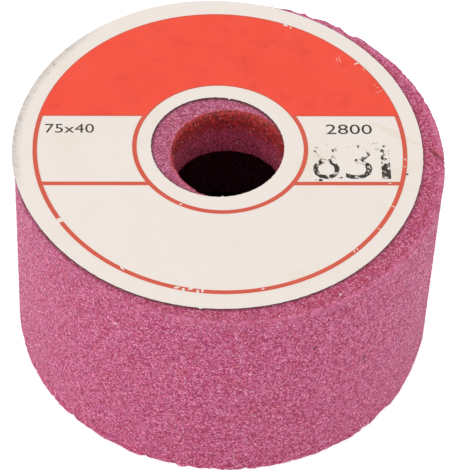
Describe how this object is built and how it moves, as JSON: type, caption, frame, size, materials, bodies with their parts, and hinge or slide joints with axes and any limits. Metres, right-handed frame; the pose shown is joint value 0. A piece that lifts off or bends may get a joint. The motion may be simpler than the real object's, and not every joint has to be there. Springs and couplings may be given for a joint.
{
  "type": "cup grinding wheel",
  "caption": "Straight cup grinding wheel: a thick-walled pink abrasive cup with a plain bore in its back wall and an off-centre paper label on its back face.",
  "frame": {"origin": "centre of the bore, in the plane of the abrasive's back face, which carries the label", "axes": "+Z along the bore, out of the labelled back face, so the grinding rim faces -Z; +X to the right of the picture and +Y away from the camera"},
  "size_m": [0.0753, 0.075, 0.0413],
  "materials": {
    "abrasive": "rough pink vitrified alumina grain, with dark pores and bright crystal faces",
    "paper": "matt cream blotter paper, lightly soiled along its edge",
    "red_print": "orange-red printing ink on paper, scuffed through in places"
  },
  "bodies": {
    "root": {"abrasive_cup": "abrasive", "paper_label": "paper", "label_print_red": "red_print"}
  },
  "joints": []
}
